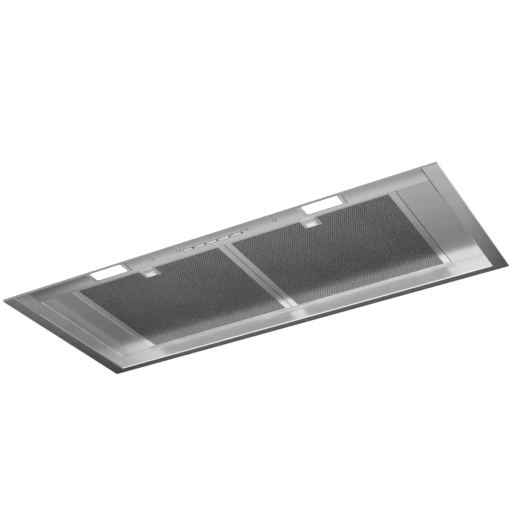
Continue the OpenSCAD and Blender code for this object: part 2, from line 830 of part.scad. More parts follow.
// The space inside the blower casing, grown by some width, from one height to another
module casing_space(grow, low, high) {
    translate([0, 0, low]) linear_extrude(high - low)
        polygon([for (i = [0 : scroll_steps]) let (a = 360 * i / scroll_steps, r = scroll_at(a) + grow)
            [fan_x + r * sin(a), fan_y + r * cos(a)]]);
    span([fan_x, casing_rear_y - throat_d - grow, low], [outlet_x + cut, casing_rear_y + grow, high]);
    span([outlet_x - grow, outlet_front_y - grow, low], [outlet_end_x + grow, casing_rear_y + grow, high]);
}

// Screws that hold the casing's foot to the top plate
function casing_screw_places() = concat(
    [for (a = casing_screw_angles)
        let (r = scroll_at(a) + casing_t + casing_flange_w / 2) [fan_x + r * sin(a), fan_y + r * cos(a)]],
    [for (share = casing_screw_share) [outlet_x + share * (outlet_end_x - outlet_x),
        outlet_front_y - casing_t - casing_flange_w / 2]],
    [for (share = casing_screw_share) [outlet_end_x + casing_t + casing_flange_w / 2,
        outlet_front_y + share * (casing_rear_y - outlet_front_y)]]
);

// The scroll wall with its outlet box and its foot
module blower_casing() {
    foot_top = body_top + sheet_t;
    color(zinc) difference() {
        union() {
            casing_space(casing_t, body_top, casing_top);
            intersection() {
                casing_space(casing_t + casing_flange_w, body_top, foot_top);
                span([-side_x, front_y, body_top - cut], [side_x, rear_y, foot_top + cut]);
            }
        }
        casing_space(0, body_top - cut, casing_top + cut);
        for (p = casing_screw_places()) translate([p[0], p[1], body_top - cut])
            cylinder(h = sheet_t + 2 * cut, r = screw_r + screw_gap);
    }
}

// The lid of the blower casing, with the openings for the motor and the collar
module blower_lid() {
    color(zinc) difference() {
        casing_space(casing_t, casing_top, lid_top);
        translate([fan_x, fan_y, casing_top - cut]) cylinder(h = sheet_t + 2 * cut, r = motor_hole_r);
        translate([collar_x, collar_y, casing_top - cut])
            cylinder(h = sheet_t + 2 * cut, r = collar_in_r - stop_w, $fn = 96);
    }
}

module blower_screws() {
    color(bright_metal) for (p = casing_screw_places()) translate([p[0], p[1], body_top + sheet_t])
        mirror([0, 0, 1]) screw_up(screw_l);
}

// The fan wheel: curved blades between a ring and a back plate, with its hub
module impeller() {
    height = impeller_top - impeller_z;
    color(dark_metal) translate([fan_x, fan_y, impeller_z]) difference() {
        union() {
            rotate_extrude($fn = 96) translate([blade_in_r, 0]) square([blade_d, ring_t]);
            translate([0, 0, height - ring_t]) cylinder(h = ring_t, r = impeller_r, $fn = 96);
            linear_extrude(height) for (i = [0 : blade_count - 1]) rotate(360 * i / blade_count) blade();
            translate([0, 0, height - hub_h]) cylinder(h = hub_h, r = hub_r);
        }
        translate([0, 0, height - hub_h - cut]) cylinder(h = hub_h + 2 * cut, r = shaft_r + bore_gap);
    }
}

// One blade seen from above, curved forwards
module blade() {
    inset = blade_t / 2;
    reach = blade_d - 2 * inset;
    function line(half) = [for (i = [0 : blade_runs]) let (
        share = i / blade_runs, r = blade_in_r + inset + reach * share, a = blade_sweep * share * share)
            [r * cos(a) - half * sin(a), r * sin(a) + half * cos(a)]];
    back = line(-inset);
    polygon(concat(line(inset), [for (i = [blade_runs : -1 : 0]) back[i]]));
}

// The shaft that carries the fan wheel
module motor_shaft() {
    color(bright_metal) translate([fan_x, fan_y, shaft_bottom])
        cylinder(h = shaft_top - shaft_bottom, r = shaft_r);
}

// The motor over the lid: can, feet and lower bearing boss
module motor_body() {
    can_top = lid_top + motor_h + grommet_h - sheet_t;
    color(dark_metal) translate([fan_x, fan_y, 0]) difference() {
        union() {
            rotate_extrude($fn = 72) union() {
                translate([0, motor_z]) square([motor_r, can_top - motor_z - motor_edge_r]);
                translate([0, can_top - 2 * motor_edge_r])
                    square([motor_r - motor_edge_r, 2 * motor_edge_r]);
                translate([motor_r - motor_edge_r, can_top - motor_edge_r])
                    circle(r = motor_edge_r, $fn = 32);
            }
            translate([0, 0, casing_top - ring_t])
                cylinder(h = motor_z - casing_top + ring_t, r = motor_boss_r);
            for (a = grommet_angles) rotate(a) {
                span([0, -grommet_r, motor_z], [grommet_circle_r, grommet_r, motor_z + foot_t]);
                translate([grommet_circle_r, 0, motor_z]) cylinder(h = foot_t, r = grommet_r);
            }
        }
        translate([0, 0, casing_top - ring_t - cut])
            cylinder(h = shaft_top - casing_top + ring_t + cut + gap, r = shaft_r + bore_gap);
    }
}

// Rubber rings between the motor's feet and the lid
module motor_grommets() {
    color(black_plastic) translate([fan_x, fan_y, lid_top]) for (a = grommet_angles) rotate(a)
        translate([grommet_circle_r, 0, 0]) cylinder(h = grommet_h, r = grommet_r);
}

// The round outlet with its foot, the stop for the flaps and the pin's holes
module duct_collar() {
    color(black_plastic) difference() {
        translate([collar_x, collar_y, lid_top]) rotate_extrude($fn = 96) union() {
            translate([collar_in_r, 0]) square([collar_t, collar_h]);
            translate([collar_in_r, 0]) square([collar_t + outlet_margin - casing_t, stop_t]);
            translate([collar_in_r - stop_w, damper_z - flap_t / 2 - gap - stop_t - lid_top])
                square([stop_w + collar_t / 2, stop_t]);
        }
        translate([collar_x, collar_y - collar_r - cut, damper_z]) rotate([-90, 0, 0])
            cylinder(h = 2 * (collar_r + cut), r = damper_pin_r + bore_gap);
    }
}

module damper_pin() {
    color(bright_metal) translate([collar_x, collar_y - collar_r + gap, damper_z]) rotate([-90, 0, 0])
        cylinder(h = 2 * (collar_r - gap), r = damper_pin_r);
}

// A half-round flap with every second knuckle of the hinge
module damper_flap(side) {
    length = knuckle_span / knuckle_count;
    start = side < 0 ? 0 : 1;
    bare = knuckle_r + 2 * gap;
    color(zinc) translate([collar_x, collar_y, damper_z]) difference() {
        union() {
            intersection() {
                translate([0, 0, -flap_t / 2]) cylinder(h = flap_t, r = flap_r, $fn = 96);
                union() {
                    on_side(side) span([-flap_r, -flap_r, -flap_t], [-bare, flap_r, flap_t]);
                    for (i = [start : 2 : knuckle_count - 1]) on_side(side)
                        span([-bare - cut, -knuckle_span / 2 + i * length + gap, -flap_t],
                             [0, -knuckle_span / 2 + (i + 1) * length - gap, flap_t]);
                }
            }
            for (i = [start : 2 : knuckle_count - 1])
                translate([0, -knuckle_span / 2 + i * length + gap, 0]) rotate([-90, 0, 0])
                    cylinder(h = length - 2 * gap, r = knuckle_r);
        }
        translate([0, -collar_r, 0]) rotate([-90, 0, 0])
            cylinder(h = 2 * collar_r, r = damper_pin_r + bore_gap);
    }
}

// The open mains box, with the gland's hole in its left wall
module mains_box() {
    low = [mains_x - mains_w / 2, mains_y - mains_d / 2, body_top];
    high = [mains_x + mains_w / 2, mains_y + mains_d / 2, body_top + mains_h];
    color(black_plastic) difference() {
        span(low, high);
        span(low + [wall_t, wall_t, wall_t], high + [-wall_t, -wall_t, cut]);
        translate([mains_end_x - cut, mains_y, body_top + mains_h / 2]) rotate([0, 90, 0])
            cylinder(h = wall_t + 2 * cut, r = gland_thread_r + screw_gap);
    }
}

module mains_box_lid() {
    low = [mains_x - mains_w / 2, mains_y - mains_d / 2, body_top + mains_h];
    high = [mains_x + mains_w / 2, mains_y + mains_d / 2, body_top + mains_h];
    rim = wall_t + gap;
    color(black_plastic) {
        span(low, high + [0, 0, wall_t]);
        span(low + [rim, rim, -wall_t], high - [rim, rim, 0]);
    }
}

// Screw terminals on the floor of the mains box
module terminal_block() {
    half_d = terminal_ways * terminal_w / 2;
    floor_z = body_top + wall_t;
    color(white_plastic) difference() {
        span([mains_x - terminal_d / 2, mains_y - half_d, floor_z],
             [mains_x + terminal_d / 2, mains_y + half_d, floor_z + terminal_h]);
        for (i = [0 : terminal_ways - 1])
            translate([mains_x, mains_y - half_d + (i + 1 / 2) * terminal_w, floor_z + terminal_h / 2])
                cylinder(h = terminal_h, r = terminal_hole_r);
    }
}

// The hexagonal gland that the mains lead comes out of
module cable_gland() {
    middle = [mains_end_x, mains_y, body_top + mains_h / 2];
    color(black_plastic) translate(middle) rotate([0, -90, 0]) difference() {
        union() {
            cylinder(h = gland_nut_l, r = gland_r, $fn = 6);
            cylinder(h = gland_l, r = gland_body_r);
            translate([0, 0, -wall_t - gap]) cylinder(h = wall_t + gap + cut, r = gland_thread_r);
            translate([0, 0, -2 * wall_t - gap]) cylinder(h = wall_t, r = gland_r, $fn = 6);
        }
        translate([0, 0, -3 * wall_t]) cylinder(h = gland_l + 4 * wall_t, r = gland_bore_r);
    }
}

module capacitor() {
    low = [capacitor_x, capacitor_y - capacitor_l / 2, body_top + capacitor_r + sheet_t];
    color(white_plastic) translate(low) rotate([-90, 0, 0]) cylinder(h = capacitor_l, r = capacitor_r);
}

// The strap that holds the capacitor down
module capacitor_clip() {
    reach = strap_r + strap_foot_w;
    color(zinc) translate([capacitor_x, capacitor_y - strap_w / 2, body_top]) difference() {
        union() {
            translate([0, 0, capacitor_r + sheet_t]) rotate([-90, 0, 0]) cylinder(h = strap_w, r = strap_r);
            span([-strap_r, 0, 0], [strap_r, strap_w, capacitor_r]);
            span([-reach, 0, 0], [reach, strap_w, sheet_t]);
        }
        translate([0, -cut, capacitor_r + sheet_t]) rotate([-90, 0, 0])
            cylinder(h = strap_w + 2 * cut, r = capacitor_r + gap);
        span([-reach - cut, -cut, -2 * strap_r], [reach + cut, strap_w + cut, 0]);
        span([sheet_t - strap_r, -cut, sheet_t], [strap_r - sheet_t, strap_w + cut, capacitor_r]);
    }
}

canopy_frame();
ceiling_panel();
control_fascia();
plenum_cover();
centre_rail();
fascia_screws();
key_housing();
key_board();
key_switches();
key_cap(0);  // key_1
key_cap(1);  // key_2
key_cap(2);  // key_3
key_cap(3);  // key_4
key_cap(4);  // key_5
key_spring(0);  // key_spring_1
key_spring(1);  // key_spring_2
key_spring(2);  // key_spring_3
key_spring(3);  // key_spring_4
key_spring(4);  // key_spring_5
lamp_bezel(-1);  // lamp_bezel_left
lamp_bezel(1);  // lamp_bezel_right
lamp_lens(-1);  // lamp_lens_left
lamp_lens(1);  // lamp_lens_right
led_board(-1);  // led_board_left
led_board(1);  // led_board_right
lamp_driver();
filter_frame(-1);  // filter_frame_left
filter_frame(1);  // filter_frame_right
filter_face(-1);  // filter_face_left
filter_face(1);  // filter_face_right
filter_core(-1);  // filter_core_left
filter_core(1);  // filter_core_right
latch_plate(-1);  // latch_plate_left
latch_plate(1);  // latch_plate_right
latch_slide(-1);  // latch_slide_left
latch_slide(1);  // latch_slide_right
latch_spring(-1);  // latch_spring_left
latch_spring(1);  // latch_spring_right
inlet_ring();
blower_casing();
blower_lid();
blower_screws();
impeller();
motor_shaft();
motor_body();
motor_grommets();
duct_collar();
damper_pin();
damper_flap(-1);  // damper_flap_left
damper_flap(1);  // damper_flap_right
mains_box();
mains_box_lid();
terminal_block();
cable_gland();
capacitor();
capacitor_clip();
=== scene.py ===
"""Looks of the range hood insert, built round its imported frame. Lengths are metres."""

import json
import math

import bmesh
import bpy
from mathutils import Matrix, Vector


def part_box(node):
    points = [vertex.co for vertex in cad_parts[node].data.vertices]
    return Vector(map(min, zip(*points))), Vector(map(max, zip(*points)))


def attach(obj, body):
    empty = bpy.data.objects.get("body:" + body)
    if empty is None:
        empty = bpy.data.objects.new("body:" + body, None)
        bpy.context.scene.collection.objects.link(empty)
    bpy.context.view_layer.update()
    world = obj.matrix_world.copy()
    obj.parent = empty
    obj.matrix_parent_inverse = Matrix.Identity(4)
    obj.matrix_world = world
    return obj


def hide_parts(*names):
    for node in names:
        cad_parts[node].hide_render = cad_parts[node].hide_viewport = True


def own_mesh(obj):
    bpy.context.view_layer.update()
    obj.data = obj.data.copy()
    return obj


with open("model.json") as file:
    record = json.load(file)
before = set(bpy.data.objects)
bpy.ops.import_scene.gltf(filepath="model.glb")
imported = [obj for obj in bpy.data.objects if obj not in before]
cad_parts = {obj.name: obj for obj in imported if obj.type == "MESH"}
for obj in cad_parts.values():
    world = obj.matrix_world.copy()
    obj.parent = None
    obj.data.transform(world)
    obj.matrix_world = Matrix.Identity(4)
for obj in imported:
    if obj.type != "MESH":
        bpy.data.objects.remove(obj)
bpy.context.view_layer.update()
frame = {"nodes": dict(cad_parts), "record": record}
SIDES = ("left", "right")
KEY_COUNT = 5
SLOTS = {row["node"]: row["material_slot"] for row in frame["record"]["subparts"]}

# Camera below and in front of the object, looking up and to the left
CAMERA_PLACE = (0.85195, -1.69356, -1.06090)
CAMERA_TURN = math.radians(26.5204)
CAMERA_TILT = math.radians(30.5994)
CAMERA_ROLL = math.radians(-2.7216)
CAMERA_LENS = 82.49
CAMERA_SENSOR = 36
CAMERA_NEAR = 0.01
CAMERA_FAR = 60

# Floor, the light card between it and the object, the world and the soft boxes
WHITE = (1, 1, 1, 1)
BLACK = (0, 0, 0, 1)
FLOOR_HEIGHT = -3.2
FLOOR_RADIUS = 30.0
FLOOR_GLOW = 0.80
CARD_HEIGHT = -0.8
CARD_RADIUS = 7.0
DISC_SEGMENTS = 64
WORLD_LEVEL = 0.62
FILL_BOX = ((0.6, -1.2, -1.9), 1.2, 10)
TOP_BOX = ((1.0, -1.6, 2.4), 2.4, 22)

# Soft changes of the card's glow: start and end of each along X or Y, and the glow before and after
CARD_REAR = (0.95, 1.52, 0.70, 0.0)
CARD_REAR_LEFT = (-1.26, -0.86, 0.22, 1.0)
CARD_REAR_RIGHT = (0.12, 0.6, 1.0, 0.3)
CARD_FRONT = (-0.2, 0.75, 0.80, 0.0)
CARD_FRONT_RIGHT = (0.6, 1.0, 1.0, 0.35)
CARD_LEAST = 0.01

# Brushed steel: noise scales along and across the brushing, and depth and strength of its relief
LINE_SCALES = (4, 1100)
BLOTCH_SCALES = (3, 40)
BRUSH_DEPTH = 0.00002
BRUSH_STRENGTH = 0.12
ALONG_X = (1, 0, 0)
ALONG_Y = (0, 1, 0)

# Plain surfaces: noise scales of the texture and of its faint clouds, and the texture's relief
TEXTURE_SCALES = (900, 900, 900)
CLOUD_SCALES = (14, 14, 14)
TEXTURE_DEPTH = 0.00004
TEXTURE_STRENGTH = 0.25

# Parts of a normal: its squared Z on an upright and on a level sheet, its Y on a forward side and beyond
UPRIGHT_TO_LEVEL = (0.1, 0.6)
FORWARD_TO_DOWN = (-0.9, -0.5)

# The front lip: where it ends along Y, and how much of the sheet's colour its forward side keeps under
# painted shade
LIP_END = (-0.186, -0.185)
LIP_PAINTED_SHADE = 0.42

# Where the strip's shading turns: start and end along Y, and the lean of its normal before and after
STRIP_FOLDS = (
    (-0.186, -0.182, 0.08, 0.0),
    (-0.172, -0.138, 0.038, -0.05),
    (-0.1385, -0.133, 0.0, -0.45),
    (-0.119, -0.1135, 0.0, 0.40),
)

# Edges whose faces turn by more than SHARP are rounded. Afterwards, turns below SOFT shade smoothly.
# Points that are closer than MERGE become one.
SHARP = math.radians(28)
SOFT = math.radians(48)
MERGE = 0.000002

# Radii of the rounded bends and edges
BEND_RADIUS = 0.0021
LEDGE_BEND = 0.0008
FRAME_BEND = 0.0007
KEY_EDGE = 0.0004
LATCH_EDGE = 0.0003
EDGE_RADIUS = 0.00015
TOP_EDGES = {
    "plenum_cover": 0.0004, "blower_casing": 0.0003, "blower_lid": 0.0003, "mains_box": 0.0010,
    "mains_box_lid": 0.0008, "lamp_driver": 0.0010, "duct_collar": 0.0004, "motor_body": 0.0005,
    "capacitor": 0.0008, "capacitor_clip": 0.0002, "cable_gland": 0.0003,
}

# Widths of the flange, depth of the rear ledge, and where the filter frame's bend lies before its
# rear end. Two measures that differ by less than NEAR are the same.
FLANGE_SIDE = 0.0275
FLANGE_REAR = 0.0185
LEDGE_DEPTH = 0.0036
FRAME_BEND_FROM = 0.020
FRAME_BEND_TO = 0.0045
NEAR = 0.0001

# Perforated sheet: pitch along a row, distance of the rows, radius of the holes, thickness, and
# the width and depth of the plain border round the latch's pocket
HOLE_PITCH = 0.00377
ROW_PITCH = 0.00398
HOLE_RADIUS = 0.00168
SHEET = 0.0003
BORDER_WIDTH = HOLE_PITCH * 0.9
BORDER_DEPTH = 0.0001

# Microns in a metre, for matching the corners of neighbouring cells
MICRONS = 1e6

# How far a trim reaches over or into what carries it
OVERLAP = 0.0002

# Places of the strip's screws, radius of their heads, and half the length and width of the painted shade
# in their cross recesses
SCREW_PLACES = ((-0.1235, -0.1570), (-0.0684, -0.1578), (0.0684, -0.1578), (0.1235, -0.1570))
SCREW_HEAD = 0.0032
CROSS_LENGTH = 0.0014
CROSS_WIDTH = 0.0003
CROSS_DEPTH = 0.00004
CIRCLE_STEPS = 24

# Black rings of painted shadow round keys, bezels and screws: how far their inner and outer edges stand
# off the part, and how deep they are
KEY_SHADOW_RING = (-0.0007, -0.0001)
BEZEL_SHADOW_RING = (0.0, 0.0005)
SCREW_SHADOW_RING = 0.0007
SHADOW_RING_DEPTH = 0.0003
BEZEL_SHADOW_RING_DEPTH = 0.0002

# Painted shadow on a key's face: distance from its edges, widths at the rear, left and right, and depth
KEY_SHADOW_MARGIN = 0.001
KEY_SHADOW_REAR = 0.0011
KEY_SHADOW_LEFT = 0.0006
KEY_SHADOW_RIGHT = 0.0009
KEY_SHADOW_DEPTH = 0.00005

# Painted shadow lines at the strip's ends: start and end beside it, half the height, and distance from
# the front
SHADOW_LINE_SPAN = (0.0001, 0.0007)
SHADOW_LINE_HEIGHT = 0.0001
SHADOW_LINE_START = 0.0006

# Lip in front of the filters: how far it reaches onto the strip, the ceiling and the filters, its
# gap beside the filters' frames, how far it hangs below the ceiling, and its thickness
LIP_ONTO_STRIP = 0.0004
LIP_ONTO_CEILING = 0.00015
LIP_ONTO_FILTERS = 0.0002
LIP_GAP = 0.0004
LIP_DROP = 0.00012
LIP_THICKNESS = 0.0005

# Section of the hem beside the left filter: distance from the filter's frame, and rise over the ceiling
HEM_SECTION = ((0.0004, 0.0003), (0.0004, 0.0006), (0.0016, 0.0006), (0.0018, -0.00004))

# Steps in the quarter turn of a wall's bend
WALL_BEND_STEPS = 5


def make_camera():
    """The camera that gives the photograph's view."""
    forward = Vector((
        -math.sin(CAMERA_TURN) * math.cos(CAMERA_TILT),
        math.cos(CAMERA_TURN) * math.cos(CAMERA_TILT),
        math.sin(CAMERA_TILT),
    ))
    right = forward.cross(Vector((0, 0, 1))).normalized()
    up = right.cross(forward)
    turn = math.cos(CAMERA_ROLL)
    lean = math.sin(CAMERA_ROLL)
    across = turn * right + lean * up
    along = turn * up - lean * right
    matrix = Matrix((across, along, -forward)).transposed().to_4x4()
    matrix.translation = CAMERA_PLACE
    data = bpy.data.cameras.new("camera")
    data.lens = CAMERA_LENS
    data.sensor_width = CAMERA_SENSOR
    data.clip_start = CAMERA_NEAR
    data.clip_end = CAMERA_FAR
    camera = bpy.data.objects.new("camera", data)
    camera.matrix_world = matrix
    bpy.context.collection.objects.link(camera)
    bpy.context.scene.camera = camera


class Shader:
    """A node material that is put together step by step."""

    def __init__(self, name):
        """A new material with its standard shader."""
        self.material = bpy.data.materials.new(name)
        self.material.use_nodes = True
        self.tree = self.material.node_tree
        self.shader = self.tree.nodes["Principled BSDF"]

    def set(self, **values):
        """Sets the shader's own sockets, whose names are given with _ for each blank."""
        for name, value in values.items():
            self.shader.inputs[name.replace("_", " ")].default_value = value
        return self

    def node(self, kind, **values):
        """A new node with its options."""
        made = self.tree.nodes.new(kind)
        for name, value in values.items():
            setattr(made, name, value)
        return made

    def link(self, output, target):
        """Joins an output to a socket of another node."""
        self.tree.links.new(output, target)

    def feed(self, socket, output):
        """Joins an output to one of the shader's own sockets."""
        self.link(output, self.shader.inputs[socket])

    def coordinates(self):
        """A point's place in the object's own space."""
        return self.node("ShaderNodeTexCoord").outputs["Object"]

    def normal(self):
        """The direction in which the surface faces."""
        return self.node("ShaderNodeNewGeometry").outputs["Normal"]

    def split(self, vector):
        """The X, Y and Z of a vector, by name."""
        parts = self.node("ShaderNodeSeparateXYZ")
        self.link(vector, parts.inputs["Vector"])
        return parts.outputs

    def place(self, axis):
        """One of the coordinates in the object's own space."""
        return self.split(self.coordinates())[axis]

    def combine(self, operation, first, second):
        """The result of a Math node, whose second value is a number or another output."""
        made = self.node("ShaderNodeMath", operation=operation)
        self.link(first, made.inputs[0])
        if isinstance(second, (int, float)):
            made.inputs[1].default_value = second
        else:
            self.link(second, made.inputs[1])
        return made.outputs["Value"]

    def noise(self, scale, detail):
        """Noise over the object's own space, stretched by a scale for each axis."""
        stretch = self.node("ShaderNodeMapping")
        stretch.inputs["Scale"].default_value = scale
        noise = self.node("ShaderNodeTexNoise")
        noise.inputs["Scale"].default_value = 1.0
        noise.inputs["Detail"].default_value = detail
        self.link(self.coordinates(), stretch.inputs["Vector"])
        self.link(stretch.outputs["Vector"], noise.inputs["Vector"])
        return noise.outputs["Fac"]

    def soft_step(self, source, start, end, low, high, curve="SMOOTHSTEP"):
        """A soft change from low to high while the source goes from start to end."""
        step = self.node("ShaderNodeMapRange", interpolation_type=curve)
        step.inputs["From Min"].default_value = start
        step.inputs["From Max"].default_value = end
        step.inputs["To Min"].default_value = low
        step.inputs["To Max"].default_value = high
        self.link(source, step.inputs["Value"])
        return step.outputs["Result"]

    def spread(self, source, low, high, start=0.3, end=0.7):
        """The source's values, spread evenly between two limits."""
        return self.soft_step(source, start, end, low, high, "LINEAR")

    def tint(self, source, dark, light, start=0.3, end=0.7):
        """A base colour between two, chosen by the source."""
        ramp = self.node("ShaderNodeValToRGB")
        ramp.color_ramp.elements[0].position = start
        ramp.color_ramp.elements[1].position = end
        ramp.color_ramp.elements[0].color = (*dark, 1)
        ramp.color_ramp.elements[1].color = (*light, 1)
        self.link(source, ramp.inputs["Fac"])
        self.feed("Base Color", ramp.outputs["Color"])

    def shade(self, source):
        """Multiplies the base colour by the source, through the colour sockets of a Mix node."""
        colour = self.shader.inputs["Base Color"].links[0].from_socket
        mix = self.node("ShaderNodeMix", data_type="RGBA", blend_type="MULTIPLY")
        mix.inputs[0].default_value = 1.0
        self.link(colour, mix.inputs[6])
        self.link(source, mix.inputs[7])
        self.feed("Base Color", mix.outputs[2])

    def bump(self, source, height, strength, normal=None):
        """Fine relief from the source, on the surface's own normal or on the given one."""
        bump = self.node("ShaderNodeBump")
        bump.inputs["Strength"].default_value = strength
        bump.inputs["Distance"].default_value = height
        self.link(source, bump.inputs["Height"])
        if normal:
            self.link(normal, bump.inputs["Normal"])
        self.feed("Normal", bump.outputs["Normal"])

    def brush_direction(self, axis):
        """Stretches the gloss across the brushing lines, which run along an axis."""
        turn = self.node("ShaderNodeVectorTransform", convert_from="OBJECT", convert_to="WORLD")
        turn.inputs["Vector"].default_value = axis
        cross = self.node("ShaderNodeVectorMath", operation="CROSS_PRODUCT")
        self.link(self.normal(), cross.inputs[0])
        self.link(turn.outputs["Vector"], cross.inputs[1])
        self.feed("Tangent", cross.outputs["Vector"])

    def bent_sheet(self, gloss, wall_rough):
        """The gloss with rougher upright walls. The forward side of the front lip gets painted shade,
        too.
        """
        facing = self.split(self.normal())
        flat = self.combine("MULTIPLY", facing["Z"], facing["Z"])
        forward = self.soft_step(facing["Y"], *FORWARD_TO_DOWN, LIP_PAINTED_SHADE, 1.0)
        behind_lip = self.soft_step(self.place("Y"), *LIP_END, 0.0, 1.0)
        # Painted shade: the front lip's forward side keeps only part of its colour
        self.shade(self.combine("MAXIMUM", forward, behind_lip))
        return self.combine("ADD", gloss, self.soft_step(flat, *UPRIGHT_TO_LEVEL, wall_rough, 0.0))

    def folded_normal(self, folds):
        """The surface's normal, leant along Y by the sum of the folds."""
        total = self.soft_step(self.place("Y"), *folds[0])
        for fold in folds[1:]:
            total = self.combine("ADD", total, self.soft_step(self.place("Y"), *fold))
        lean = self.node("ShaderNodeCombineXYZ")
        self.link(total, lean.inputs["Y"])
        leant = self.node("ShaderNodeVectorMath", operation="ADD")
        self.link(self.normal(), leant.inputs[0])
        self.link(lean.outputs["Vector"], leant.inputs[1])
        whole = self.node("ShaderNodeVectorMath", operation="NORMALIZE")
        self.link(leant.outputs["Vector"], whole.inputs[0])
        return whole.outputs["Vector"]


def grey(level):
    """A colour without hue."""
    return (level, level, level)


def stretched(axis, scales):
    """Noise scales for the three axes: the first along the axis, the second across it."""
    return tuple(scales[0] if share else scales[1] for share in axis)


def brushed(name, level, rough, axis, wall_rough=0.0, folds=()):
    """Brushed steel. Walls are rougher by wall_rough, which also paints shade on the front lip's forward
    side, and folds lean the shading along Y.
    """
    made = Shader(name).set(Metallic=1.0, Anisotropic=0.5)
    lines = made.noise(stretched(axis, LINE_SCALES), 3.0)
    blotches = made.noise(stretched(axis, BLOTCH_SCALES), 2.0)
    made.tint(blotches, grey(level * 0.96), grey(level * 1.03))
    gloss = made.spread(lines, rough * 0.95, rough * 1.06)
    if wall_rough:
        gloss = made.bent_sheet(gloss, wall_rough)
    made.feed("Roughness", gloss)
    made.brush_direction(axis)
    made.bump(lines, BRUSH_DEPTH, BRUSH_STRENGTH, made.folded_normal(folds) if folds else None)
    return made.material


def plain(name, colour, rough, metallic=0.0):
    """A moulded, painted or coated surface with a fine texture."""
    made = Shader(name).set(Metallic=metallic)
    dark = tuple(value * 0.9 for value in colour)
    light = tuple(min(1.0, value * 1.08) for value in colour)
    texture = made.noise(TEXTURE_SCALES, 3.0)
    cloud = made.noise(CLOUD_SCALES, 2.0)
    made.tint(cloud, dark, light)
    made.feed("Roughness", made.spread(texture, rough * 0.85, rough * 1.15))
    made.bump(texture, TEXTURE_DEPTH, TEXTURE_STRENGTH)
    return made.material


def galvanised(name):
    """Zinc coated sheet with its faint crystals."""
    made = Shader(name).set(Metallic=1.0)
    cells = made.node("ShaderNodeTexVoronoi")
    cells.inputs["Scale"].default_value = 150.0
    made.link(made.coordinates(), cells.inputs["Vector"])
    shares = made.node("ShaderNodeSeparateColor")
    made.link(cells.outputs["Color"], shares.inputs["Color"])
    made.tint(shares.outputs["Red"], (0.50, 0.51, 0.52), (0.57, 0.58, 0.59), 0.0, 1.0)
    made.feed("Roughness", made.spread(shares.outputs["Green"], 0.36, 0.46, 0.0, 1.0))
    return made.material


def lens_material():
    """Opal plastic lit from behind."""
    made = Shader("opal_lens").set(Roughness=0.35, Emission_Color=WHITE, Emission_Strength=1.1)
    cloud = made.noise((30, 30, 30), 1.0)
    made.tint(cloud, (0.93, 0.93, 0.92), (0.97, 0.97, 0.96))
    return made.material


def board_material():
    """Circuit board with faint copper tracks."""
    made = Shader("circuit_board").set(Roughness=0.4)
    tracks = made.node("ShaderNodeTexBrick")
    tracks.inputs["Scale"].default_value = 180.0
    tracks.inputs["Color1"].default_value = (0.03, 0.16, 0.07, 1)
    tracks.inputs["Color2"].default_value = (0.04, 0.20, 0.09, 1)
    tracks.inputs["Mortar"].default_value = (0.12, 0.30, 0.14, 1)
    made.link(made.coordinates(), tracks.inputs["Vector"])
    made.feed("Base Color", tracks.outputs["Color"])
    return made.material


def mesh_material():
    """Expanded aluminium mesh: pale strands with openings painted dark as shade on top, and painted
    shade underneath, nearly black.
    """
    made = Shader("filter_mesh").set(Roughness=0.7, Specular_IOR_Level=0.1)
    cells = made.node("ShaderNodeTexVoronoi", feature="DISTANCE_TO_EDGE")
    cells.inputs["Scale"].default_value = 420.0
    made.link(made.coordinates(), cells.inputs["Vector"])
    # Openings painted dark as shade between the pale strands
    made.tint(cells.outputs["Distance"], grey(0.42), grey(0.06), 0.10, 0.26)
    # Painted shade: where the mesh faces down, it keeps only a small share of its colour
    facing = made.split(made.node("ShaderNodeTexCoord").outputs["Normal"])
    made.shade(made.soft_step(facing["Z"], -0.1, 0.1, 0.03, 1.0))
    return made.material


# One material for each slot of the record, and variants for single pieces
MATERIALS = {
    "brushed_sheet": brushed("brushed_sheet", 0.74, 0.20, ALONG_X, 0.22),
    "zinc_sheet": galvanised("zinc_sheet"),
    "perforated_sheet": plain("perforated_sheet", grey(0.52), 0.28, 1.0),
    "filter_mesh": mesh_material(),
    "bright_metal": brushed("bright_metal", 0.82, 0.16, ALONG_X),
    "spring_wire": plain("spring_wire", (0.5, 0.5, 0.52), 0.3, 1.0),
    "black_plastic": plain("black_plastic", (0.025, 0.025, 0.027), 0.45),
    "fan_plastic": plain("fan_plastic", (0.06, 0.06, 0.065), 0.4),
    "white_plastic": plain("white_plastic", (0.78, 0.78, 0.75), 0.35),
    "opal_lens": lens_material(),
    "circuit_board": board_material(),
    "motor_paint": plain("motor_paint", (0.07, 0.07, 0.075), 0.38, 0.3),
    "grey_rubber": plain("grey_rubber", grey(0.03), 0.7),
}
STRIP_STEEL = brushed("strip_steel", 0.74, 0.20, ALONG_X, 0.22, STRIP_FOLDS)
SATIN = plain("satin_metal", (0.86, 0.86, 0.87), 0.34, 0.35)
# Painted shade: the centre rail sits in the gap between the filters, so its zinc is made dark
PAINTED_SHADE_ZINC_RAIL = plain("painted_shade_zinc_rail", (0.10, 0.10, 0.105), 0.5, 0.8)
FRAME_STEEL = brushed("frame_steel", 0.88, 0.26, ALONG_Y)
CEILING_STEEL = brushed("ceiling_steel", 0.74, 0.245, ALONG_X, 0.18)


def dress_nodes():
    """Gives each CAD node the material of its slot, but the centre rail a dark zinc that is painted
    shade.
    """
    for name, obj in frame["nodes"].items():
        obj.data.materials.clear()
        obj.data.materials.append(PAINTED_SHADE_ZINC_RAIL if name == "centre_rail" else MATERIALS[SLOTS[name]])


def is_sharp(line):
    """True for an edge that has to be rounded."""
    return len(line.link_faces) == 2 and line.calc_face_angle(0) > SHARP


def bevel(build, lines, radius, segments):
    """Rounds edges of a mesh."""
    bmesh.ops.bevel(build, geom=lines, offset=radius, segments=segments, profile=0.5,
                    affect="EDGES", clamp_overlap=True)


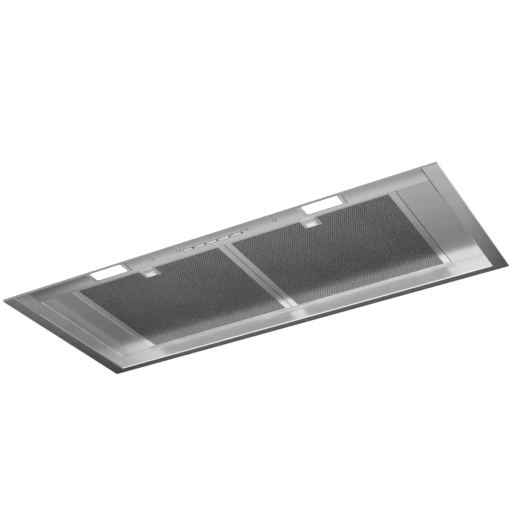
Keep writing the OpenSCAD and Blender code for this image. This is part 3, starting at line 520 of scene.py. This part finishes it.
def rounded_copy(node, body, edge=EDGE_RADIUS, is_bend=None, bend=BEND_RADIUS, material=None):
    """A copy of a CAD node with its edges rounded, the bends among them with a larger radius."""
    build = bmesh.new()
    build.from_mesh(frame["nodes"][node].data)
    bmesh.ops.remove_doubles(build, verts=build.verts, dist=MERGE)
    bmesh.ops.dissolve_degenerate(build, edges=build.edges, dist=MERGE)
    if is_bend:
        lines = [line for line in build.edges if is_sharp(line)]
        bends = [line for line in lines if is_bend(*(vert.co for vert in line.verts))]
        bevel(build, bends, bend, 3)
    bevel(build, [line for line in build.edges if is_sharp(line)], edge, 2)
    for face in build.faces:
        face.smooth = True
    for line in build.edges:
        line.smooth = len(line.link_faces) == 2 and line.calc_face_angle(0) < SOFT
    mesh = bpy.data.meshes.new(f"{node}_rounded")
    build.to_mesh(mesh)
    build.free()
    mesh.materials.append(material or MATERIALS[SLOTS[node]])
    piece = bpy.data.objects.new(f"{node}_rounded", mesh)
    bpy.context.collection.objects.link(piece)
    weigh = piece.modifiers.new("weigh", "WEIGHTED_NORMAL")
    weigh.mode = "FACE_AREA"
    weigh.weight = 100
    weigh.keep_sharp = True
    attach(piece, body)
    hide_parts(node)
    return piece


def add_piece(name, points, faces, body, slot, material=None):
    """A new mesh that rides on a body and takes its finish from a slot."""
    mesh = bpy.data.meshes.new(name)
    mesh.from_pydata(points, [], faces)
    mesh.update()
    mesh.materials.append(material or MATERIALS[slot])
    piece = bpy.data.objects.new(name, mesh)
    bpy.context.collection.objects.link(piece)
    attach(piece, body)
    return piece


def add_box(points, faces, low, high):
    """Appends a box's corners and faces to the lists."""
    first = len(points)
    for x in (low[0], high[0]):
        for y in (low[1], high[1]):
            for z in (low[2], high[2]):
                points.append((x, y, z))
    for face in ((0, 1, 3, 2), (4, 6, 7, 5), (0, 4, 5, 1), (2, 3, 7, 6), (0, 2, 6, 4), (1, 5, 7, 3)):
        faces.append(tuple(first + corner for corner in face))


def add_ring(points, faces, inner, outer, high, low):
    """Appends a flat ring with a thickness between two outlines of the same number of points."""
    first = len(points)
    count = len(inner)
    for height in (low, high):
        for outline in (inner, outer):
            points.extend((x, y, height) for x, y in outline)
    for step in range(count):
        after = (step + 1) % count
        a, b, c, d = (first + ring * count + step for ring in range(4))
        e, f, g, h = (first + ring * count + after for ring in range(4))
        faces.extend(((a, b, f, e), (c, g, h, d), (b, d, h, f), (a, e, g, c)))


def rectangle(low, high, margin):
    """The corners of a box's outline, grown by a margin."""
    return [(low[0] - margin, low[1] - margin), (high[0] + margin, low[1] - margin),
            (high[0] + margin, high[1] + margin), (low[0] - margin, high[1] + margin)]


def circle(centre, radius):
    """The points of a circle."""
    turns = [2 * math.pi * step / CIRCLE_STEPS for step in range(CIRCLE_STEPS)]
    return [(centre[0] + radius * math.cos(turn), centre[1] + radius * math.sin(turn))
            for turn in turns]


def is_flange_bend(*ends):
    """True for the inner edges of the flange, where its sheet turns up into the walls."""
    low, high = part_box("canopy_frame")
    inner_x = high[0] - FLANGE_SIDE
    inner_y = high[1] - FLANGE_REAR
    level = all(abs(end.z - low[2]) < NEAR for end in ends)
    at_side = all(abs(abs(end.x) - inner_x) < NEAR for end in ends)
    at_rear = all(abs(end.y - inner_y) < NEAR for end in ends)
    return level and (at_side or at_rear)


def is_frame_bend(*ends):
    """True for the filter frame's lower edge behind the perforated sheet."""
    low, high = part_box("filter_frame_left")
    start = high[1] - FRAME_BEND_FROM
    stop = high[1] - FRAME_BEND_TO
    return all(end.z < low[2] + NEAR and start < end.y < stop for end in ends)


def is_ledge_bend(*ends):
    """True for the lower front edge of the ledge behind the filters."""
    low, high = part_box("ceiling_panel")
    at_bottom = all(end.z < low[2] + NEAR for end in ends)
    return at_bottom and all(abs(end.y - high[1] + LEDGE_DEPTH) < 2 * NEAR for end in ends)


def round_sheets():
    """Rounded copies of the sheets, keys and latches that show from below."""
    rounded_copy("canopy_frame", "hood", is_bend=is_flange_bend)
    rounded_copy("control_fascia", "hood", material=STRIP_STEEL)
    rounded_copy("ceiling_panel", "hood", is_bend=is_ledge_bend, bend=LEDGE_BEND,
                 material=CEILING_STEEL)
    for side in SIDES:
        rounded_copy(f"filter_frame_{side}", f"filter_{side}", is_bend=is_frame_bend, bend=FRAME_BEND,
                     material=FRAME_STEEL)
        rounded_copy(f"lamp_bezel_{side}", "hood")
        rounded_copy(f"latch_plate_{side}", f"filter_{side}", material=FRAME_STEEL)
        rounded_copy(f"latch_slide_{side}", f"latch_{side}", LATCH_EDGE, material=SATIN)
    for number in range(1, KEY_COUNT + 1):
        key = rounded_copy(f"key_{number}", f"key_{number}", KEY_EDGE, material=SATIN)
        key.data.materials.append(MATERIALS["black_plastic"])
        # Satin where the key faces down or forward, black on its other sides and its stem: partly the
        # key's black body, partly painted shade on its rear and end sides
        for face in key.data.polygons:
            face.material_index = 0 if min(face.normal.y, face.normal.z) < -0.5 else 1


def round_boxes():
    """Rounded copies of the boxes, cans and housings on top."""
    for node, edge in TOP_EDGES.items():
        rounded_copy(node, "hood", edge)


def shadow_rings():
    """Black rings of painted shadow round the keys, the lamps' bezels and the strip's screws."""
    points = []
    faces = []
    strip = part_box("lamp_bezel_left")[1][2]
    for number in range(1, KEY_COUNT + 1):
        low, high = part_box(f"key_{number}")
        inner, outer = (rectangle(low, high, margin) for margin in KEY_SHADOW_RING)
        add_ring(points, faces, inner, outer, strip, strip - SHADOW_RING_DEPTH)
    for side in SIDES:
        low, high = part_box(f"lamp_bezel_{side}")
        inner, outer = (rectangle(low, high, margin) for margin in BEZEL_SHADOW_RING)
        add_ring(points, faces, inner, outer, strip, strip - BEZEL_SHADOW_RING_DEPTH)
    for place in SCREW_PLACES:
        inner, outer = (circle(place, radius) for radius in (SCREW_HEAD, SCREW_HEAD + SCREW_SHADOW_RING))
        add_ring(points, faces, inner, outer, strip, strip - SHADOW_RING_DEPTH)
    add_piece("strip_shadow_rings", points, faces, "hood", "black_plastic")


def key_painted_shadows():
    """Painted shadow on each key's face, as black bars along its rear edge and its ends."""
    for number in range(1, KEY_COUNT + 1):
        low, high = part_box(f"key_{number}")
        left = low[0] + KEY_SHADOW_MARGIN
        right = high[0] - KEY_SHADOW_MARGIN
        front = low[1] + KEY_SHADOW_MARGIN
        rear = high[1] - KEY_SHADOW_MARGIN
        # Black bars of painted shadow along the rear edge and both ends
        bars = (
            ((left, rear - KEY_SHADOW_REAR), (right, rear)),
            ((left, front), (left + KEY_SHADOW_LEFT, rear)),
            ((right - KEY_SHADOW_RIGHT, front), (right, rear)),
        )
        points = []
        faces = []
        for start, end in bars:
            add_box(points, faces, (*start, low[2] - KEY_SHADOW_DEPTH), (*end, low[2]))
        add_piece(f"key_{number}_painted_shadow", points, faces, f"key_{number}", "black_plastic")


def end_shadow_lines():
    """Black lines of painted shadow where the strip meets the side flanges."""
    points = []
    faces = []
    low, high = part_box("control_fascia")
    for sign in (-1, 1):
        left, right = sorted(sign * (high[0] + distance) for distance in SHADOW_LINE_SPAN)
        add_box(points, faces, (left, low[1] + SHADOW_LINE_START, low[2] - SHADOW_LINE_HEIGHT),
                (right, high[1], low[2] + SHADOW_LINE_HEIGHT))
    add_piece("end_shadow_lines", points, faces, "hood", "black_plastic")


def front_lip():
    """A thin steel lip in front of the filters, along the whole strip."""
    points = []
    faces = []
    low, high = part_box("control_fascia")
    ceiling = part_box("ceiling_panel")[0]
    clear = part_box("filter_frame_right")[1][0] + LIP_GAP
    under = ceiling[2] - LIP_DROP
    start = high[1] - LIP_ONTO_STRIP
    beside = ceiling[1] + LIP_ONTO_CEILING
    between = high[1] + LIP_ONTO_FILTERS
    spans = ((low[0], -clear, beside), (-clear, clear, between), (clear, high[0], beside))
    for left, right, end in spans:
        add_box(points, faces, (left, start, under), (right, end, under + LIP_THICKNESS))
    add_piece("front_lip", points, faces, "hood", "brushed_sheet")


def opening_hem():
    """Bent-up hem on the ceiling's edge beside the left filter."""
    points = []
    faces = []
    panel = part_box("ceiling_panel")[0]
    frame_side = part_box("filter_frame_right")[1][0]
    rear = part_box("filter_face_right")[1][1]
    count = len(HEM_SECTION)
    for y in (panel[1] + OVERLAP, rear):
        points.extend((-frame_side - out, y, panel[2] + rise) for out, rise in HEM_SECTION)
    for step in range(count):
        after = (step + 1) % count
        faces.append((step, after, count + after, count + step))
    faces.extend(((3, 2, 1, 0), (4, 5, 6, 7)))
    add_piece("opening_hem", points, faces, "hood", "brushed_sheet")


def springs():
    """Smooth copies of the key and latch springs, in place of the CAD springs."""
    for number in range(1, KEY_COUNT + 1):
        press_spring(f"key_spring_{number}", "hood")
    for side in SIDES:
        press_spring(f"latch_spring_{side}", f"filter_{side}")


def press_spring(node, body):
    """One spring, copied with smooth shading onto its body."""
    mesh = frame["nodes"][node].data.copy()
    mesh.name = f"{node}_coil"
    mesh.polygons.foreach_set("use_smooth", [True] * len(mesh.polygons))
    piece = bpy.data.objects.new(f"{node}_coil", mesh)
    bpy.context.collection.objects.link(piece)
    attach(piece, body)
    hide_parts(node)
    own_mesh(piece)


def screw_cross_shadows():
    """Cross recesses in the heads of the strip's screws, drawn as black crosses of painted shade."""
    points = []
    faces = []
    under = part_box("fascia_screws")[0][2]
    for x, y in SCREW_PLACES:
        for reach_x, reach_y in ((CROSS_LENGTH, CROSS_WIDTH), (CROSS_WIDTH, CROSS_LENGTH)):
            add_box(points, faces, (x - reach_x, y - reach_y, under - CROSS_DEPTH),
                    (x + reach_x, y + reach_y, under))
    add_piece("screw_cross_shadows", points, faces, "hood", "black_plastic")


def wall_bends():
    """Rounded bends where the side walls turn into the ceiling."""
    points = []
    faces = []
    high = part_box("canopy_frame")[1]
    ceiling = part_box("ceiling_panel")[0]
    wall = high[0] - FLANGE_SIDE
    count = WALL_BEND_STEPS + 2
    for sign in (-1, 1):
        first = len(points)
        for y in (ceiling[1] + OVERLAP, high[1] - FLANGE_REAR - NEAR):
            points.append((sign * wall, y, ceiling[2]))
            for step in range(WALL_BEND_STEPS + 1):
                turn = math.pi / 2 * step / WALL_BEND_STEPS
                inward = BEND_RADIUS * (1 - math.cos(turn))
                down = BEND_RADIUS * (1 - math.sin(turn))
                points.append((sign * (wall - inward), y, ceiling[2] - down))
        for step in range(count):
            after = (step + 1) % count
            face = (first + step, first + after, first + count + after, first + count + step)
            faces.append(face if sign > 0 else face[::-1])
        faces.append(tuple(range(first, first + count))[::-sign])
        faces.append(tuple(range(first + count, first + 2 * count))[::sign])
    add_piece("wall_bends", points, faces, "hood", "brushed_sheet")


def perforated_face(side):
    """The filter's perforated sheet: hexagonal cells, each with a hole, round the latch's pocket."""
    low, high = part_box(f"filter_face_{side}")
    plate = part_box(f"latch_plate_{side}")[1]
    middle = (low[0] + high[0]) / 2
    half = HOLE_PITCH / 2
    quarter = HOLE_PITCH / 4
    columns = int((high[0] - low[0]) / HOLE_PITCH) - 1
    rows = int((high[1] - low[1]) / ROW_PITCH)
    start_y = (low[1] + high[1]) / 2 - (rows - 1) / 2 * ROW_PITCH
    clear_x = plate[0] - middle + quarter
    clear_y = plate[1] + quarter
    point_y = ROW_PITCH * 2 / 3
    side_y = ROW_PITCH - point_y
    cell = [(half, side_y), (0, point_y), (-half, side_y),
            (-half, -side_y), (0, -point_y), (half, -side_y)]
    count = len(cell)
    angles = [math.radians(30 + 60 * step) for step in range(count)]
    points = []
    faces = []
    corners = {}
    for row in range(rows):
        y = start_y + row * ROW_PITCH
        shift = quarter if row % 2 else -quarter
        for column in range(columns):
            x = (column - (columns - 1) / 2) * HOLE_PITCH + shift
            if abs(x) < clear_x and y < clear_y:
                continue
            # Neighbouring cells share their corners
            outer = []
            for cell_x, cell_y in cell:
                corner = (middle + x + cell_x, y + cell_y)
                key = tuple(round(part * MICRONS) for part in corner)
                if key not in corners:
                    corners[key] = len(points)
                    points.append((*corner, low[2]))
                outer.append(corners[key])
            rim = len(points)
            for height in (low[2], low[2] + SHEET):
                for angle in angles:
                    hole_x = middle + x + HOLE_RADIUS * math.cos(angle)
                    points.append((hole_x, y + HOLE_RADIUS * math.sin(angle), height))
            for step in range(count):
                after = (step + 1) % count
                faces.append((outer[after], outer[step], rim + step, rim + after))
                faces.append((rim + after, rim + step, rim + count + step, rim + count + after))
    piece = add_piece(f"perforated_face_{side}", points, faces, f"filter_{side}", "perforated_sheet")
    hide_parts(f"filter_face_{side}")


def pocket_border(side):
    """Plain border of the perforated sheet on three sides of the latch's pocket."""
    points = []
    faces = []
    low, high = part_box(f"filter_face_{side}")
    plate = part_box(f"latch_plate_{side}")[1]
    middle = (low[0] + high[0]) / 2
    inner = plate[0] - middle - OVERLAP
    under = low[2] - BORDER_DEPTH
    rear = plate[1] + BORDER_WIDTH
    for sign in (-1, 1):
        left, right = sorted((middle + sign * inner, middle + sign * (inner + BORDER_WIDTH)))
        add_box(points, faces, (left, low[1], under), (right, rear, low[2]))
    add_box(points, faces, (middle - inner, plate[1] - OVERLAP, under), (middle + inner, rear, low[2]))
    add_piece(f"pocket_border_{side}", points, faces, f"filter_{side}", "brushed_sheet", FRAME_STEEL)


def make_disc(name, radius, height):
    """A round sheet of the stage, level at a height."""
    mesh = bpy.data.meshes.new(name)
    build = bmesh.new()
    bmesh.ops.create_circle(build, cap_ends=True, segments=DISC_SEGMENTS, radius=radius)
    build.to_mesh(mesh)
    build.free()
    disc = bpy.data.objects.new(name, mesh)
    disc.location = (0, 0, height)
    bpy.context.collection.objects.link(disc)
    return disc


def make_floor():
    """A plain pale floor far below the object. Its glow is for the camera alone."""
    floor = make_disc("floor", FLOOR_RADIUS, FLOOR_HEIGHT)
    made = Shader("floor").set(Roughness=0.9, Emission_Color=WHITE)
    cloud = made.noise((2, 2, 2), 1.0)
    made.tint(cloud, grey(0.10), grey(0.11))
    rays = made.node("ShaderNodeLightPath")
    made.feed("Emission Strength", made.combine("MULTIPLY", rays.outputs["Is Camera Ray"], FLOOR_GLOW))
    floor.data.materials.append(made.material)


def make_card():
    """A soft light card between the floor and the object, seen in the metal but not by the camera."""
    card = make_disc("light_card", CARD_RADIUS, CARD_HEIGHT)
    card.visible_camera = False
    card.visible_shadow = False
    made = Shader("light_card").set(Base_Color=BLACK, Roughness=1.0, Specular_IOR_Level=0.0,
                                    Emission_Color=WHITE)
    across = made.place("X")
    depth = made.place("Y")
    rear = made.soft_step(depth, *CARD_REAR)
    for side in (CARD_REAR_LEFT, CARD_REAR_RIGHT):
        rear = made.combine("MULTIPLY", rear, made.soft_step(across, *side))
    front = made.combine("MULTIPLY", made.soft_step(depth, *CARD_FRONT),
                         made.soft_step(across, *CARD_FRONT_RIGHT))
    glow = made.combine("ADD", rear, front)
    made.feed("Emission Strength", made.combine("ADD", glow, CARD_LEAST))
    card.data.materials.append(made.material)


def soft_light(name, place, size, power):
    """A square soft box aimed at the object."""
    data = bpy.data.lights.new(name, "AREA")
    data.shape = "SQUARE"
    data.size = size
    data.energy = power
    light = bpy.data.objects.new(name, data)
    light.location = place
    light.rotation_euler = (-Vector(place)).to_track_quat("-Z", "Y").to_euler()
    light.visible_camera = False
    bpy.context.collection.objects.link(light)


def make_lights():
    """A pale world, white where the camera, a reflection or glass looks, and two soft boxes."""
    world = bpy.data.worlds.new("world")
    bpy.context.scene.world = world
    world.use_nodes = True
    tree = world.node_tree
    background = tree.nodes["Background"]
    background.inputs["Color"].default_value = WHITE
    rays = tree.nodes.new("ShaderNodeLightPath")
    seen = rays.outputs["Is Camera Ray"]
    for kind in ("Is Glossy Ray", "Is Transmission Ray"):
        either = tree.nodes.new("ShaderNodeMath")
        either.operation = "MAXIMUM"
        tree.links.new(seen, either.inputs[0])
        tree.links.new(rays.outputs[kind], either.inputs[1])
        seen = either.outputs[0]
    level = tree.nodes.new("ShaderNodeMapRange")
    level.inputs["To Min"].default_value = WORLD_LEVEL
    level.inputs["To Max"].default_value = 1.0
    tree.links.new(seen, level.inputs["Value"])
    tree.links.new(level.outputs["Result"], background.inputs["Strength"])
    soft_light("fill_box", *FILL_BOX)
    soft_light("top_box", *TOP_BOX)


make_camera()
dress_nodes()
round_sheets()
round_boxes()
shadow_rings()
key_painted_shadows()
end_shadow_lines()
front_lip()
opening_hem()
springs()
screw_cross_shadows()
wall_bends()
for side_name in SIDES:
    perforated_face(side_name)
    pocket_border(side_name)
make_floor()
make_card()
make_lights()

bpy.context.scene.view_settings.view_transform = "Standard"
